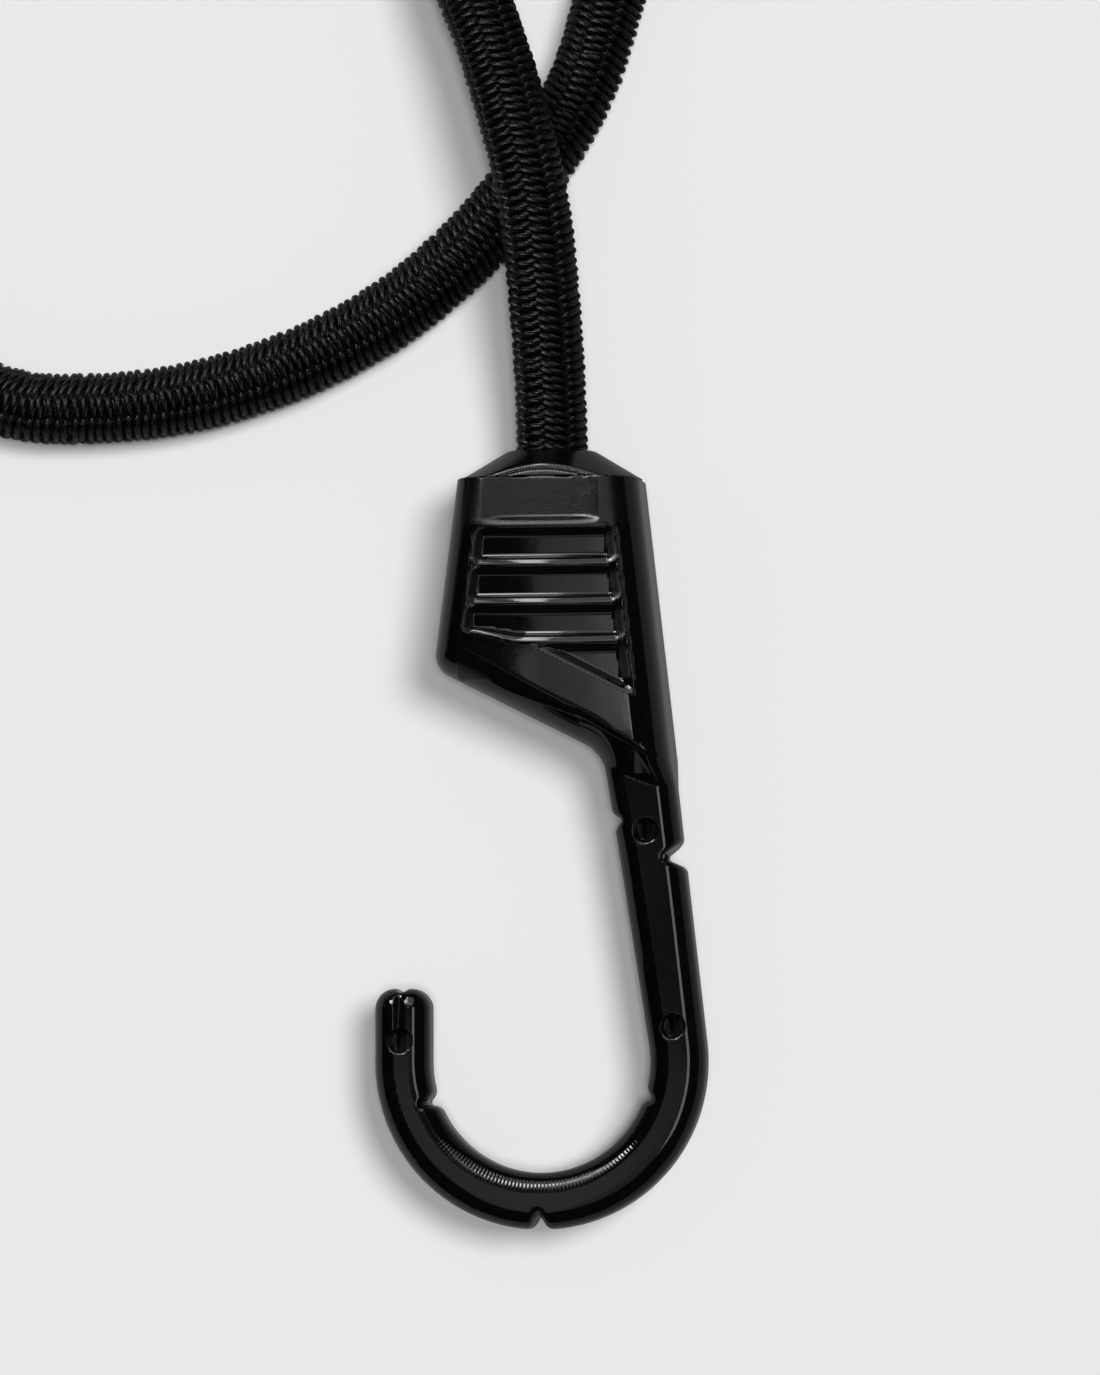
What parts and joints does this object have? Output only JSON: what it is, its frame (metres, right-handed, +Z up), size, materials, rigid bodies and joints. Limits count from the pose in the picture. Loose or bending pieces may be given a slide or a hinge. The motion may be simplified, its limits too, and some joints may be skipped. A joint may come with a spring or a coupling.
{
  "type": "bungee cord",
  "caption": "Braided elastic cord with a plastic-coated J hook on each end, for holding down loads; the ends stretch and the hooks swivel.",
  "frame": {"origin": "on the table, on hook a's flat back face, under the cord's axis and 2 mm below the rim of its grip", "axes": "+X to the right of the picture, +Y from hook a along its cord, +Z up off the table"},
  "size_m": [0.1654, 0.2289, 0.0189],
  "materials": {
    "hook_plastic": "glossy black moulding",
    "cap_plastic": "satin black moulding",
    "core_steel": "plain wire",
    "crimp_steel": "zinc plated",
    "braided_sleeve": "black woven yarn",
    "rubber": "natural rubber thread"
  },
  "bodies": {
    "cord": {"sleeve_lead_a": "braided_sleeve", "sleeve_coil": "braided_sleeve", "sleeve_lead_b": "braided_sleeve", "rubber_strand_1": "rubber", "rubber_strand_2": "rubber", "rubber_strand_3": "rubber", "rubber_strand_4": "rubber", "rubber_strand_5": "rubber", "rubber_strand_6": "rubber", "rubber_strand_7": "rubber"},
    "crimp_a": {"crimp_ferrule_a": "crimp_steel"},
    "hook_a": {"hook_body_a": "hook_plastic", "hook_core_a": "core_steel", "socket_cap_a": "cap_plastic"},
    "crimp_b": {"crimp_ferrule_b": "crimp_steel"},
    "hook_b": {"hook_body_b": "hook_plastic", "hook_core_b": "core_steel", "socket_cap_b": "cap_plastic"}
  },
  "joints": [
    {"name": "stretch_a", "type": "slide", "parent": "cord", "child": "crimp_a", "axis": [0, -1, 0], "range_m": [0, 0.05], "stiffness_N_per_m": 2800, "deforming": ["sleeve_lead_a", "rubber_strand_1", "rubber_strand_2", "rubber_strand_3", "rubber_strand_4", "rubber_strand_5", "rubber_strand_6", "rubber_strand_7"]},
    {"name": "swivel_a", "type": "hinge", "parent": "crimp_a", "child": "hook_a", "pos_m": [0, 0, 0.00875], "axis": [0, 1, 0], "range_deg": [-180, 180]},
    {"name": "stretch_b", "type": "slide", "parent": "cord", "child": "crimp_b", "axis": [0, -1, 0], "range_m": [0, 0.05], "stiffness_N_per_m": 2800, "deforming": ["sleeve_lead_b", "rubber_strand_1", "rubber_strand_2", "rubber_strand_3", "rubber_strand_4", "rubber_strand_5", "rubber_strand_6", "rubber_strand_7"]},
    {"name": "swivel_b", "type": "hinge", "parent": "crimp_b", "child": "hook_b", "pos_m": [-0.123, -0.0092, 0.00875], "axis": [0, 1, 0], "range_deg": [-180, 180]}
  ]
}
